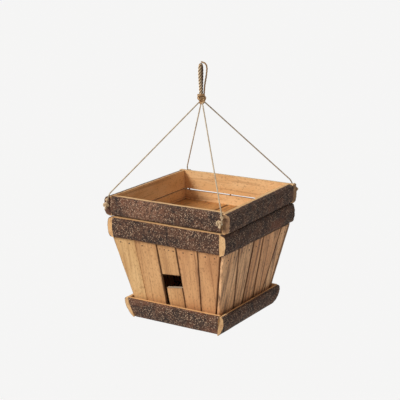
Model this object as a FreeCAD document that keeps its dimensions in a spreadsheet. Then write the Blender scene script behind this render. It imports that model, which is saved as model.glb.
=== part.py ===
import FreeCAD, Part
import math
import os

import Sketcher

# Hanging birdhouse planter. Millimetres, +Z up, bird entry towards -Y.
# The origin is where a hook bears on the rope loop, so the whole object hangs below z = 0.
# Heights in the sheet count up from the underside of the base plate.

doc = FreeCAD.newDocument("BirdhousePlanter")
Vector = FreeCAD.Vector
UP = Vector(0, 0, 1)

SIZES = {
    # base: a plate with four bark slats round it, which lean outwards as the walls do
    "base_plate_thickness": 10,
    "base_slat_height": 29,
    "base_slat_clearance": 4.6,
    "base_slat_top": 5.8,
    "base_slat_foot": 2,
    "base_slat_bulge": 2.6,
    "base_slat_overrun": 1.8,
    # walls: outer widths where they stand on the plate and where they meet the tray
    "wall_bottom_width": 136,
    "wall_top_width": 184,
    "nest_height": 111,
    "slat_thickness": 4.5,
    "slat_gap": 1.4,
    "corner_gap": 0.8,
    "entry_sill": 47,
    "entry_height": 19.5,
    "sill_slat_gap": 3.5,
    # where one slat ends and the next begins, from left to right across a wall
    "front_top_1": 0.206,
    "front_top_2": 0.418,
    "front_top_3": 0.595,
    "front_top_4": 0.794,
    "front_bottom_1": 0.148,
    "front_bottom_2": 0.407,
    "front_bottom_3": 0.645,
    "front_bottom_4": 0.83,
    "side_top_1": 0.22,
    "side_top_2": 0.448,
    "side_top_3": 0.594,
    "side_top_4": 0.88,
    "side_bottom_1": 0.272,
    "side_bottom_2": 0.435,
    "side_bottom_3": 0.667,
    "side_bottom_4": 0.828,
    # battens inside the walls
    "foot_batten_height": 12,
    "tray_batten_height": 15,
    "batten_depth": 10,
    # tray floor
    "plank_thickness": 17,
    "plank_gap": 1.6,
    "plank_joint_1": 0.435,
    "plank_joint_2": 0.768,
    # rim: two courses of half-round rails
    "rail_seat": 2.5,
    "lower_rail_height": 30.5,
    "lower_rail_edge": 7,
    "lower_rail_belly": 9.8,
    "lower_rail_overrun": 7.4,
    "course_gap": 3,
    "course_step": 1,
    "upper_rail_height": 28,
    "upper_rail_edge": 9,
    "upper_rail_belly": 12.5,
    "upper_rail_overrun": 9.5,
    # fasteners
    "slat_nail_diameter": 1.6,
    "slat_nail_length": 13,
    "slat_nail_head": 3,
    "slat_nail_head_height": 0.7,
    "slat_nail_drop": 6.5,
    "side_nail_shift": 4,
    "pin_diameter": 1.8,
    "pin_bite": 12,
    "pin_spread": 58,
    "corner_pin_inset": 8,
    "corner_pin_gap_inset": 11.5,
    "course_pin_diameter": 2.2,
    "course_pin_bite": 9,
    "course_pin_inset": 5,
    "course_pin_shift": 10,
    "base_pin_cover": 2.4,
    "base_pin_spread": 35,
    "floor_nail_diameter": 1.8,
    "floor_nail_bite": 3,
    "floor_nail_spread": 10.5,
    "plate_nail_spread": 45.5,
    "tie_nail_diameter": 2,
    "tie_nail_depth": 10,
    "tie_nail_stand": 5,
    "tie_inset": 3,
    # cords
    "cord_diameter": 2,
    "cord_edge_radius": 3,
    "stopper_knot_radius": 4,
    "knot_rise": 127.5,
    "gathering_knot_radius": 5.5,
    "neck_wrap_radius": 7,
    "neck_wrap_height": 5,
    "neck_wrap_seat": 2.6,
    "rope_diameter": 4.5,
    "rope_heading": -72,
    "loop_rise": 48,
    "tail_diameter": 2.4,
    "cord_clearance": 0.3,
}
sizes = doc.addObject("Spreadsheet::Sheet", "Sizes")
for row, (alias, value) in enumerate(SIZES.items(), start=1):
    sizes.set(f"A{row}", alias)
    sizes.set(f"B{row}", str(value))
    sizes.setAlias(f"B{row}", alias)
doc.recompute()

# Levels and widths that several pieces share
LAYOUT = {
    "plate_top": "Sizes.base_plate_thickness",
    "tray_underside": "Layout.plate_top + Sizes.nest_height",
    "tray_floor": "Layout.tray_underside + Sizes.plank_thickness",
    "lower_foot": "Layout.tray_underside",
    "lower_head": "Layout.lower_foot + Sizes.lower_rail_height",
    "upper_foot": "Layout.lower_head + Sizes.course_gap",
    "rim_top": "Layout.upper_foot + Sizes.upper_rail_height",
    "knot_level": "Layout.rim_top + Sizes.knot_rise",
    "hang_height": "Layout.knot_level + Sizes.loop_rise",
    "lower_inner": "Sizes.wall_top_width / 2 - Sizes.rail_seat",
    "upper_inner": "Layout.lower_inner - Sizes.course_step",
    "lower_reach": "Layout.lower_inner + Sizes.lower_rail_overrun",
    "upper_reach": "Layout.upper_inner + Sizes.upper_rail_overrun",
    "slat_depth": "Sizes.slat_thickness / cos(Layout.wall_lean)",
    "slat_drop": "Sizes.slat_thickness * sin(Layout.wall_lean)",
    "slat_length": "(Sizes.nest_height - Layout.slat_drop) / cos(Layout.wall_lean)",
    "wall_bottom": "Sizes.wall_bottom_width / 2",
    "base_rise": "Sizes.base_slat_height - Sizes.base_plate_thickness",
    "plate_head": "Layout.wall_bottom + Sizes.base_slat_clearance",
    "plate_foot": "Layout.plate_head - Sizes.base_plate_thickness * tan(Layout.wall_lean)",
    "base_inner_head": "Layout.plate_head + Layout.base_rise * tan(Layout.wall_lean)",
    "base_reach": "Layout.base_inner_head + Sizes.base_slat_overrun",
    "wall_top": "Layout.wall_bottom + Layout.slat_length * sin(Layout.wall_lean)",
    "butt_bottom": "Layout.wall_bottom - Layout.slat_depth - Sizes.corner_gap",
    "butt_top": "Layout.wall_top - Layout.slat_depth - Sizes.corner_gap",
    "front_top_nails": "Layout.slat_length - Sizes.slat_nail_drop",
    "front_bottom_nails": "Sizes.foot_batten_height / 2",
    "side_top_nails": "Layout.front_top_nails - Sizes.side_nail_shift",
    "side_bottom_nails": "Layout.front_bottom_nails - Sizes.side_nail_shift",
}
layout = doc.addObject("App::VarSet", "Layout")
layout.addProperty("App::PropertyAngle", "wall_lean")
WALL_SPREAD = "(Sizes.wall_top_width - Sizes.wall_bottom_width) / 2"
layout.setExpression("wall_lean", f"atan({WALL_SPREAD} / Sizes.nest_height)")
for name, expression in LAYOUT.items():
    layout.addProperty("App::PropertyFloat", name)
    layout.setExpression(name, expression)
doc.recompute()

# Every piece is drawn as if it stood on the +X side, then turned to its own side.
# Along a side, +Y in that frame runs to the right for someone facing it from outside.
SIDES = ("right", "back", "left", "front")
QUARTER_TURN = 360 / len(SIDES)
nodes = []


def size_of(expression):
    """The number that an expression on the sheet gives now."""
    return float(sizes.evalExpression(expression))


def turn_to(side):
    """The turn about the hanging axis that takes the +X side to another side."""
    return FreeCAD.Rotation(UP, QUARTER_TURN * SIDES.index(side))


def keep(piece, label):
    """Names a finished piece, which is written out under that name."""
    piece.Label = label
    nodes.append(piece)
    return piece


def new_body(name, side="right"):
    """An empty body, turned to its side and hung below the origin."""
    body = doc.addObject("PartDesign::Body", name)
    body.AllowCompound = True
    body.Placement = FreeCAD.Placement(Vector(), turn_to(side))
    body.setExpression("Placement.Base.z", "-Layout.hang_height")
    return body


def new_sketch(body, plane_role, offset="0"):
    """A sketch on one of the body's own planes, moved out along that plane's normal."""
    plane = next(feature for feature in body.Origin.OriginFeatures if feature.Role == plane_role)
    sketch = body.newObject("Sketcher::SketchObject", body.Name + "_sketch")
    sketch.AttachmentSupport = [(plane, "")]
    sketch.MapMode = "FlatFace"
    sketch.setExpression("AttachmentOffset.Base.z", offset)
    return sketch


def wall_sketch(body):
    """A sketch on a wall's leaning outer face, with its origin at the middle of the wall's foot."""
    sketch = new_sketch(body, "YZ_Plane", "Layout.wall_bottom")
    lean = FreeCAD.Rotation(Vector(1, 0, 0), size_of("Layout.wall_lean"))
    sketch.AttachmentOffset = FreeCAD.Placement(sketch.AttachmentOffset.Base, lean)
    sketch.setExpression("AttachmentOffset.Base.y", "Layout.plate_top")
    sketch.setExpression("AttachmentOffset.Rotation.Angle", "Layout.wall_lean")
    return sketch


def hold(sketch, name, constraint, expression):
    """Adds a named constraint whose value follows an expression."""
    constraint.Name = name
    sketch.addConstraint(constraint)
    sketch.setExpression("Constraints." + name, expression)


def hold_point(sketch, name, geometry, position, place):
    """Ties a point of the sketch to two expressions."""
    for axis, expression in zip("XY", place):
        distance = Sketcher.Constraint("Distance" + axis, -1, 1, geometry, position, size_of(expression))
        hold(sketch, name + axis, distance, expression)


def draw_outline(sketch, corners, arc_radius=None):
    """Joins corners, each two expressions, by straight edges. With a radius, the first edge is an arc."""
    places = [Vector(size_of(across), size_of(up), 0) for across, up in corners]
    count = len(places)
    for index, start in enumerate(places):
        end = places[(index + 1) % count]
        edge = Part.LineSegment(start, end)
        if arc_radius and index == 0:
            chord = end - start
            radius = size_of(arc_radius)
            rise = radius - math.sqrt(radius**2 - chord.Length**2 / 4)
            outward = Vector(chord.y, -chord.x, 0).normalize()
            edge = Part.Arc(start, (start + end) / 2 + outward * rise, end)
        sketch.addGeometry(edge)
    joins = [Sketcher.Constraint("Coincident", index, 2, (index + 1) % count, 1) for index in range(count)]
    sketch.addConstraint(joins)
    for index, place in enumerate(corners):
        hold_point(sketch, f"corner{index}", index, 1, place)
    if arc_radius:
        hold(sketch, "bark_radius", Sketcher.Constraint("Radius", 0, size_of(arc_radius)), arc_radius)


def pad(body, sketch, length, inward=False):
    """Thickens a sketch along its normal, or against it."""
    feature = body.newObject("PartDesign::Pad", body.Name + "_pad")
    feature.Profile = sketch
    feature.setExpression("Length", length)
    feature.Reversed = inward
    return body


def long_piece(name, side, corners, start, end, arc_radius=None):
    """A straight piece along a side: its cross-section (outwards, up) drawn from start to end."""
    body = new_body(name, side)
    sketch = new_sketch(body, "XZ_Plane", f"-({end})")
    draw_outline(sketch, corners, arc_radius)
    return pad(body, sketch, f"({end}) - ({start})")


def rods(name, side, plane_role, offset, places, diameter, length, inward=True):
    """Round rods of one size, all driven the same way from one plane."""
    body = new_body(name, side)
    sketch = new_sketch(body, plane_role, offset)
    draw_circles(sketch, places, diameter)
    return pad(body, sketch, length, inward)


def draw_circles(sketch, places, diameter):
    """Equal circles at places, each two expressions."""
    radius = size_of(diameter) / 2
    for index, place in enumerate(places):
        centre = Vector(size_of(place[0]), size_of(place[1]), 0)
        sketch.addGeometry(Part.Circle(centre, UP, radius))
        hold_point(sketch, f"rod{index}", index, 3, place)
        hold(sketch, f"diameter{index}", Sketcher.Constraint("Diameter", index, 2 * radius), diameter)


def group(label, bodies):
    """Like fasteners as one piece of separate solids."""
    compound = doc.addObject("Part::Compound", label)
    compound.Links = bodies
    return keep(compound, label)


def drilled(label, body, *tools):
    """A piece less its tools, which are mostly the fasteners that fill its holes."""
    piece = body
    for tool in tools:
        cut = doc.addObject("Part::Cut", label + "_drilled")
        cut.Base = piece
        cut.Tool = tool
        piece = cut
    return keep(piece, label)


# Wall slats are found by the lines between them, numbered from the left as seen from outside.
# Each wall runs past the next one at its left end, and butts behind its other neighbour at its right end.
SLATS = 5


def split(side, level, number):
    """How far across its wall a slat line stands at the wall's top or bottom, from 0 to 1."""
    if number == 0:
        return "0"
    if number == SLATS:
        return "1"
    pattern = "front" if side in ("front", "back") else "side"
    if side in ("back", "left"):
        return f"(1 - Sizes.{pattern}_{level}_{SLATS - number})"
    return f"Sizes.{pattern}_{level}_{number}"


def slat_line(side, level, number):
    """Where a slat line stands along its wall, at the wall's top or bottom."""
    width = f"(Layout.wall_{level} + Layout.butt_{level})"
    return f"({width} * {split(side, level, number)} - Layout.wall_{level})"


def slat_edge(side, number, rise, gap_side):
    """Where a slat line crosses a height above the wall's foot, moved by half a gap to either side."""
    bottom = slat_line(side, "bottom", number)
    top = slat_line(side, "top", number)
    gap = ""
    if 0 < number < SLATS:
        gap = f" {gap_side} Sizes.slat_gap / 2"
    return f"{bottom} + ({top} - {bottom}) * ({rise}) / Layout.slat_length{gap}"


def nail_place(side, number, rise, share):
    """A nail in a slat, at a share of the slat's width and a height above the wall's foot."""
    left = slat_edge(side, number - 1, rise, "+")
    right = slat_edge(side, number, rise, "-")
    return f"({left}) * (1 - {share}) + ({right}) * {share}", rise


# Slat nails: two at each end of a slat, and four along the top of the slat above the entry.
# The side walls' rows are lower, so that nails from two walls pass each other at a corner.
PAIR = (0.32, 0.74)
FOUR = (0.14, 0.38, 0.62, 0.86)
ENTRY_SLAT = 3
slat_nails = {}
for side in SIDES:
    places = []
    wall = "front" if side in ("front", "back") else "side"
    for number in range(1, SLATS + 1):
        top_shares = FOUR if (side, number) == ("front", ENTRY_SLAT) else PAIR
        places += [nail_place(side, number, f"Layout.{wall}_top_nails", share) for share in top_shares]
        places += [nail_place(side, number, f"Layout.{wall}_bottom_nails", share) for share in PAIR]
    nails = new_body(f"{side}_slat_nails", side)
    shanks = wall_sketch(nails)
    draw_circles(shanks, places, "Sizes.slat_nail_diameter")
    pad(nails, shanks, "Sizes.slat_nail_length", inward=True)
    heads = wall_sketch(nails)
    draw_circles(heads, places, "Sizes.slat_nail_head")
    pad(nails, heads, "Sizes.slat_nail_head_height")
    slat_nails[side] = nails

# Tray planks are found by the joints between them, from left to right
PLANK_JOINTS = ("0", "Sizes.plank_joint_1", "Sizes.plank_joint_2", "1")
PLANKS = ("left", "middle", "right")


def plank_line(number):
    """A joint between planks, across the tray from its left side."""
    return f"Layout.lower_inner * (2 * {PLANK_JOINTS[number]} - 1)"


PLANK_MIDDLES = [f"({plank_line(number)} + {plank_line(number + 1)}) / 2" for number in range(len(PLANKS))]

# Rail pins: rails to the plank edges, one in each plank's end, and rails to each other at the corners
LOWER_PIN_PLANE = "Layout.lower_inner + Sizes.lower_rail_edge"
UPPER_PIN_PLANE = "Layout.upper_inner + Sizes.upper_rail_edge"
LOWER_PIN_LENGTH = "Sizes.lower_rail_edge + Sizes.pin_bite"
UPPER_PIN_LENGTH = "Sizes.upper_rail_edge + Sizes.pin_bite"
PLANK_LEVEL = "Layout.tray_floor - Sizes.plank_thickness / 2"
LOWER_CORNER = "Layout.lower_inner + Sizes.lower_rail_edge / 2"
UPPER_CORNER = "Layout.upper_inner + Sizes.upper_rail_edge / 2"
LOWER_HEIGHTS = (
    "Layout.lower_foot + Sizes.corner_pin_inset",
    "Layout.lower_head - Sizes.corner_pin_gap_inset",
)
UPPER_HEIGHTS = (
    "Layout.upper_foot + Sizes.corner_pin_gap_inset",
    "Layout.rim_top - Sizes.corner_pin_inset",
)


def corner_places(along, heights):
    """Pins one above the other at each of the given places along a side."""
    return [(place, height) for place in along for height in heights]


rail_pins = {"lower": [], "upper": []}
plank_pins = []
PIN_SPREAD = ("-Sizes.pin_spread", "0", "Sizes.pin_spread")
PIN_ALONG = {
    "right": PIN_SPREAD,
    "back": [f"-{middle}" for middle in PLANK_MIDDLES],
    "left": PIN_SPREAD,
    "front": PLANK_MIDDLES,
}
for side, along in PIN_ALONG.items():
    places = [(place, PLANK_LEVEL) for place in along]
    name = f"{side}_plank_pins"
    pins = rods(name, side, "YZ_Plane", LOWER_PIN_PLANE, places, "Sizes.pin_diameter", LOWER_PIN_LENGTH)
    plank_pins.append(pins)
LOWER_JOINTS = {"right": (f"-({LOWER_CORNER})", LOWER_CORNER), "left": (f"-({LOWER_CORNER})", LOWER_CORNER)}
UPPER_JOINTS = {
    "right": (f"-({UPPER_CORNER})",),
    "left": (UPPER_CORNER,),
    "back": (f"-({UPPER_CORNER})", UPPER_CORNER),
}
for course, joints, plane, heights, length in (
    ("lower", LOWER_JOINTS, LOWER_PIN_PLANE, LOWER_HEIGHTS, LOWER_PIN_LENGTH),
    ("upper", UPPER_JOINTS, UPPER_PIN_PLANE, UPPER_HEIGHTS, UPPER_PIN_LENGTH),
):
    for side, along in joints.items():
        places = corner_places(along, heights)
        name = f"{course}_{side}_corner_pins"
        pins = rods(name, side, "YZ_Plane", plane, places, "Sizes.pin_diameter", length)
        rail_pins[course].append(pins)

# Course pins: upright, half in the lower rail and half in the upper one
COURSE_LINE = LOWER_CORNER
COURSE_END = "Layout.upper_inner - Sizes.course_pin_inset"
COURSE_ALONG = (f"-({COURSE_END})", "Sizes.course_pin_shift", COURSE_END)
COURSE_PLACES = [(COURSE_LINE, along) for along in COURSE_ALONG]
COURSE_FOOT = "Layout.lower_head - Sizes.course_pin_bite"
COURSE_LENGTH = "2 * Sizes.course_pin_bite + Sizes.course_gap"
course_pins = {}
for side in SIDES:
    pins = rods(
        f"{side}_course_pins",
        side,
        "XY_Plane",
        COURSE_FOOT,
        COURSE_PLACES,
        "Sizes.course_pin_diameter",
        COURSE_LENGTH,
        inward=False,
    )
    course_pins[side] = pins

# Base pins: base slats to the edges of the base plate
BASE_PIN_PLANE = "(Layout.plate_foot + Layout.plate_head) / 2 + Sizes.base_pin_cover"
BASE_PIN_LENGTH = "Sizes.base_pin_cover + Sizes.pin_bite"
BASE_PIN_PLACES = [(f"{sign}Sizes.base_pin_spread", "Layout.plate_top / 2") for sign in ("-", "")]
base_pins = {
    side: rods(
        f"{side}_base_pins",
        side,
        "YZ_Plane",
        BASE_PIN_PLANE,
        BASE_PIN_PLACES,
        "Sizes.pin_diameter",
        BASE_PIN_LENGTH,
    )
    for side in SIDES
}


# Battens: bevelled to the lean of the slats, on the plate and under the tray
def wall_inner(height):
    """Half the clear width between opposite walls at a height."""
    return f"Layout.wall_bottom - Layout.slat_depth + ({height} - Layout.plate_top) * tan(Layout.wall_lean)"


BATTEN_LEVELS = {
    "foot": ("Layout.plate_top", "Layout.plate_top + Sizes.foot_batten_height"),
    "tray": ("Layout.tray_underside - Sizes.tray_batten_height", "Layout.tray_underside"),
}
battens = {}
batten_middle = {}
for level, (low, high) in BATTEN_LEVELS.items():
    outer_low = wall_inner(f"({low})")
    inner = f"{outer_low} - Sizes.batten_depth"
    section = [(inner, high), (inner, low), (outer_low, low), (wall_inner(f"({high})"), high)]
    batten_middle[level] = f"{outer_low} - Sizes.batten_depth / 2"
    for side in SIDES:
        reach = f"({outer_low})" if side in ("right", "left") else f"({inner})"
        battens[level, side] = long_piece(f"{level}_batten_{side}_blank", side, section, f"-{reach}", reach)

# Floor nails: planks down into the tray battens, and the base plate up into the foot battens
plank_nail_places = []
for middle in PLANK_MIDDLES:
    for end in (f"-({batten_middle['tray']})", batten_middle["tray"]):
        for sign in "-+":
            plank_nail_places.append((f"{middle} {sign} Sizes.floor_nail_spread", end))
floor_nails = rods(
    "plank_nails",
    "right",
    "XY_Plane",
    "Layout.tray_floor",
    plank_nail_places,
    "Sizes.floor_nail_diameter",
    "Sizes.plank_thickness + Sizes.floor_nail_bite",
)
plate_nails = [
    rods(
        f"{side}_plate_nails",
        side,
        "XY_Plane",
        "0",
        [(batten_middle["foot"], f"{sign}Sizes.plate_nail_spread") for sign in ("-", "")],
        "Sizes.floor_nail_diameter",
        "Layout.plate_top + Sizes.floor_nail_bite",
        inward=False,
    )
    for side in SIDES
]

# Tie nails: one near each corner of the upper course. In front they stand out of the side rails' ends,
# and behind out of the back rail, clear of its corner pins.
TIE_LEVEL = "Layout.rim_top - Sizes.upper_rail_height / 2"
END_FACE = "Layout.upper_reach"
BARK_FACE = "Layout.upper_inner + Sizes.upper_rail_belly"
TOP_EDGE = "Layout.upper_inner + Sizes.upper_rail_edge"
TIES = {
    # corner: the side it stands out of, its place along that side, its seat and the edge its cord goes over
    "front_left": ("front", f"-({UPPER_CORNER})", END_FACE, END_FACE),
    "front_right": ("front", UPPER_CORNER, END_FACE, END_FACE),
    "back_right": ("back", "-(Layout.upper_inner + Sizes.tie_inset)", BARK_FACE, TOP_EDGE),
    "back_left": ("back", "Layout.upper_inner + Sizes.tie_inset", BARK_FACE, TOP_EDGE),
}
tie_nails = {
    corner: rods(
        f"{corner}_tie_nail",
        side,
        "YZ_Plane",
        f"{seat} + Sizes.tie_nail_stand",
        [(along, TIE_LEVEL)],
        "Sizes.tie_nail_diameter",
        "Sizes.tie_nail_stand + Sizes.tie_nail_depth",
    )
    for corner, (side, along, seat, edge) in TIES.items()
}

all_slat_nails = group("slat_nails", list(slat_nails.values()))
all_rail_pins = group("rail_pins", plank_pins + rail_pins["lower"] + rail_pins["upper"])
all_course_pins = group("course_pins", list(course_pins.values()))
all_base_pins = group("base_pins", list(base_pins.values()))
all_floor_nails = group("floor_nails", [floor_nails] + plate_nails)
all_tie_nails = group("tie_nails", list(tie_nails.values()))

# Base plate: the nest floor, which carries the walls and, on its bevelled edges, the base slats
plate = new_body("base_plate_blank")
plate_sketch = new_sketch(plate, "XY_Plane")
draw_outline(
    plate_sketch,
    [
        ("-Layout.plate_foot", "-Layout.plate_foot"),
        ("Layout.plate_foot", "-Layout.plate_foot"),
        ("Layout.plate_foot", "Layout.plate_foot"),
        ("-Layout.plate_foot", "Layout.plate_foot"),
    ],
)
pad(plate, plate_sketch, "Sizes.base_plate_thickness")
plate.Tip.setExpression("TaperAngle", "Layout.wall_lean")
drilled("base_plate", plate, all_base_pins, all_floor_nails)

# Base slats: flat inside, bark outside curving in towards the foot. The side ones run through,
# and the ends of the others are bevelled to fit between them.
BASE_HEAD_OUT = "(Layout.base_inner_head + Sizes.base_slat_top)"
BASE_FOOT_OUT = "(Layout.plate_foot + Sizes.base_slat_foot)"
BASE_CHORD = f"(Sizes.base_slat_height ^ 2 + ({BASE_HEAD_OUT} - {BASE_FOOT_OUT}) ^ 2)"
BASE_BARK = f"({BASE_CHORD} / 4 + Sizes.base_slat_bulge ^ 2) / (2 * Sizes.base_slat_bulge)"
BASE_INNER = [("Layout.base_inner_head", "Sizes.base_slat_height"), ("Layout.plate_foot", "0")]
BASE_SECTION = [(BASE_FOOT_OUT, "0"), (BASE_HEAD_OUT, "Sizes.base_slat_height")] + BASE_INNER
BEVEL_SECTION = [("Layout.base_reach", "0"), ("Layout.base_reach", "Sizes.base_slat_height")] + BASE_INNER
BEVEL_END = BASE_HEAD_OUT + " + Sizes.base_slat_bulge"
bevels = [
    long_piece(f"base_bevel_{side}", side, BEVEL_SECTION, f"-({BEVEL_END})", BEVEL_END)
    for side in ("right", "left")
]
for side in SIDES:
    through = side in ("right", "left")
    reach = "Layout.base_reach" if through else "Layout.base_inner_head"
    slat = long_piece(f"base_slat_{side}_blank", side, BASE_SECTION, f"-{reach}", reach, BASE_BARK)
    cutters = [base_pins[side]] if through else [*bevels, base_pins[side]]
    drilled(f"base_slat_{side}", slat, *cutters)

# Battens take the slat nails and the floor nails
for (level, side), batten in battens.items():
    drilled(f"{level}_batten_{side}", batten, all_slat_nails, all_floor_nails)


# Wall slats: thin tapered boards, each nailed to a batten at its foot and at its top
def wall_slat(label, side, number, low, high, left_gap="0"):
    """One board between two slat lines, from one height above the wall's foot to another."""
    body = new_body(label + "_blank", side)
    sketch = wall_sketch(body)
    corners = [
        (f"{slat_edge(side, number - 1, low, '+')} + {left_gap}", low),
        (slat_edge(side, number, low, "-"), low),
        (slat_edge(side, number, high, "-"), high),
        (f"{slat_edge(side, number - 1, high, '+')} + {left_gap}", high),
    ]
    draw_outline(sketch, corners)
    pad(body, sketch, "Sizes.slat_thickness", inward=True)
    drilled(label, body, slat_nails[side])


ENTRY_HEAD = "Sizes.entry_sill + Sizes.entry_height"
for side in SIDES:
    for number in range(1, SLATS + 1):
        label = f"{side}_slat_{number}"
        if (side, number) == ("front", ENTRY_SLAT):
            wall_slat(label + "_upper", side, number, ENTRY_HEAD, "Layout.slat_length")
            wall_slat(label + "_lower", side, number, "0", "Sizes.entry_sill", "Sizes.sill_slat_gap")
        else:
            wall_slat(label, side, number, "0", "Layout.slat_length")

# Tray planks: front to back, on the battens and the tops of the slats, with the lower rails round them
for number, name in enumerate(PLANKS):
    plank = new_body(f"floor_plank_{name}_blank")
    plank_sketch = new_sketch(plank, "XY_Plane", "Layout.tray_underside")
    left_gap = "Sizes.plank_gap / 2" if number else "0"
    right_gap = "Sizes.plank_gap / 2" if number < len(PLANKS) - 1 else "0"
    left = f"{plank_line(number)} + {left_gap}"
    right = f"{plank_line(number + 1)} - {right_gap}"
    corners = [
        (left, "-Layout.lower_inner"),
        (right, "-Layout.lower_inner"),
        (right, "Layout.lower_inner"),
        (left, "Layout.lower_inner"),
    ]
    draw_outline(plank_sketch, corners)
    pad(plank, plank_sketch, "Sizes.plank_thickness")
    drilled(f"floor_plank_{name}", plank, all_rail_pins, all_floor_nails)


# Rim rails: half-round, flat inside, with sawn top and bottom edges and bark on the round side
def rail(course, side, foot, start, end):
    """One rail of a course, from start to end along its side."""
    head = f"({foot} + Sizes.{course}_rail_height)"
    inner = f"Layout.{course}_inner"
    edge = f"{inner} + Sizes.{course}_rail_edge"
    bulge = f"(Sizes.{course}_rail_belly - Sizes.{course}_rail_edge)"
    bark = f"(Sizes.{course}_rail_height ^ 2 / 4 + {bulge} ^ 2) / (2 * {bulge})"
    section = [(edge, foot), (edge, head), (inner, head), (inner, foot)]
    blank = long_piece(f"{course}_rail_{side}_blank", side, section, start, end, bark)
    drilled(f"{course}_rail_{side}", blank, all_rail_pins, course_pins[side], all_tie_nails)


LOWER_ENDS = {
    "right": ("-Layout.lower_reach", "Layout.lower_reach"),
    "left": ("-Layout.lower_reach", "Layout.lower_reach"),
    "front": ("-Layout.lower_inner", "Layout.lower_inner"),
    "back": ("-Layout.lower_inner", "Layout.lower_inner"),
}
UPPER_ENDS = {
    "right": ("-Layout.upper_reach", "Layout.upper_inner"),
    "left": ("-Layout.upper_inner", "Layout.upper_reach"),
    "front": ("-Layout.upper_inner", "Layout.upper_inner"),
    "back": ("-Layout.upper_reach", "Layout.upper_reach"),
}
for side in SIDES:
    rail("lower", side, "Layout.lower_foot", *LOWER_ENDS[side])
    rail("upper", side, "Layout.upper_foot", *UPPER_ENDS[side])

# Gathering knot: a ball, the centre of the swing, with the neck wrap seated over its top
knot = doc.addObject("Part::Sphere", "gathering_knot_ball")
knot.setExpression("Radius", "Sizes.gathering_knot_radius")
knot.setExpression("Placement.Base.z", "Layout.knot_level - Layout.hang_height")
keep(knot, "gathering_knot")


def round_post(name, radius, foot, height):
    """An upright cylinder on the hanging axis."""
    post = doc.addObject("Part::Cylinder", name)
    post.setExpression("Radius", radius)
    post.setExpression("Height", height)
    post.setExpression("Placement.Base.z", f"{foot} - Layout.hang_height")
    return post


NECK_FOOT = "Layout.knot_level + Sizes.neck_wrap_seat"
neck = round_post("neck_blank", "Sizes.neck_wrap_radius", NECK_FOOT, "Sizes.neck_wrap_height")
rope_room = round_post(
    "rope_room", "Sizes.rope_diameter + Sizes.cord_clearance", NECK_FOOT, "Sizes.neck_wrap_height"
)
knot_room = doc.addObject("Part::Sphere", "knot_room")
knot_room.setExpression("Radius", "Sizes.gathering_knot_radius + Sizes.cord_clearance")
knot_room.setExpression("Placement.Base.z", "Layout.knot_level - Layout.hang_height")
drilled("neck_wrap", neck, rope_room, knot_room)

doc.recompute()

# Cords: straight runs with a round bend at each point between them
BEND_SHARE = 0.45


def cord_tube(name, points, diameter, bend_radii):
    """A round cord through points. A bend with no radius of its own takes what its runs allow."""
    edges = []
    length = 0
    start = points[0]
    for before, corner, after, given in zip(points, points[1:], points[2:], bend_radii):
        back = before - corner
        on = after - corner
        turn = math.pi - back.getAngle(on)
        shorter = min(back.Length, on.Length)
        radius = given or BEND_SHARE * shorter / math.tan(turn / 2)
        setback = radius * math.tan(turn / 2)
        arc_start = corner + back.normalize() * setback
        arc_end = corner + on.normalize() * setback
        bisector = (back + on).normalize()
        middle = corner + bisector * (radius / math.cos(turn / 2) - radius)
        edges.append(Part.LineSegment(start, arc_start).toShape())
        edges.append(Part.Arc(arc_start, middle, arc_end).toShape())
        length += (arc_start - start).Length + radius * turn
        start = arc_end
        print(f"{name}: bend radius {radius:.1f} mm over {math.degrees(turn):.0f} degrees")
    edges.append(Part.LineSegment(start, points[-1]).toShape())
    length += (points[-1] - start).Length
    ring = Part.makeCircle(diameter / 2, points[0], points[1] - points[0])
    tube = Part.Wire(edges).makePipeShell([Part.Wire(ring)], True, False)
    expected = math.pi * diameter**2 / 4 * length
    print(f"{name}: length {length:.1f} mm, volume {tube.Volume / expected:.4f} of section times length")
    return tube


def cord_piece(label, shape):
    """A cord's solid as a piece of the document."""
    piece = doc.addObject("Part::Feature", label)
    piece.Shape = shape
    piece.Placement = FreeCAD.Placement()
    return keep(piece, label)


cord = sizes.cord_diameter
clearance = sizes.cord_clearance
knot_centre = Vector(0, 0, layout.knot_level - layout.hang_height)

# Bridle cords: taut from the gathering knot over the rim's top edge, each ending in a knot on its tie nail
for corner, (side, along, seat, edge) in TIES.items():
    turned = turn_to(side)
    over_rim = layout.rim_top - layout.hang_height + 0.75 * cord
    over_edge = turned.multVec(Vector(size_of(edge) + 0.8 * cord, size_of(along), over_rim))
    stopper_out = size_of(seat) + sizes.stopper_knot_radius + clearance
    stopper = turned.multVec(Vector(stopper_out, size_of(along), size_of(TIE_LEVEL) - layout.hang_height))
    towards = (over_edge - knot_centre).normalize()
    leaves_knot = knot_centre + towards * (sizes.gathering_knot_radius + clearance)
    name = f"bridle_cord_{corner}"
    run = cord_tube(name, [leaves_knot, over_edge, stopper], cord, [sizes.cord_edge_radius])
    ball = Part.makeSphere(sizes.stopper_knot_radius, stopper)
    cord_piece(name, run.fuse(ball).removeSplitter().cut(all_tie_nails.Shape))

# Hanging rope: up from the neck, round the hook's place and down again, in an upright plane
rope_plane = FreeCAD.Rotation(UP, sizes.rope_heading)
rope_foot = sizes.gathering_knot_radius + 2 * clearance
crown = sizes.loop_rise + sizes.rope_diameter / 2
ROPE_LEG = [(2.35, rope_foot), (2.6, 17), (6.3, 33), (6.0, crown)]
rope_points = [Vector(out, 0, up) for out, up in ROPE_LEG]
rope_points += [Vector(-out, 0, up) for out, up in reversed(ROPE_LEG)]
rope_points = [knot_centre + rope_plane.multVec(point) for point in rope_points]
rope_bends = [None] * (len(rope_points) - 2)
cord_piece("hang_loop", cord_tube("hang_loop", rope_points, sizes.rope_diameter, rope_bends))

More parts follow.
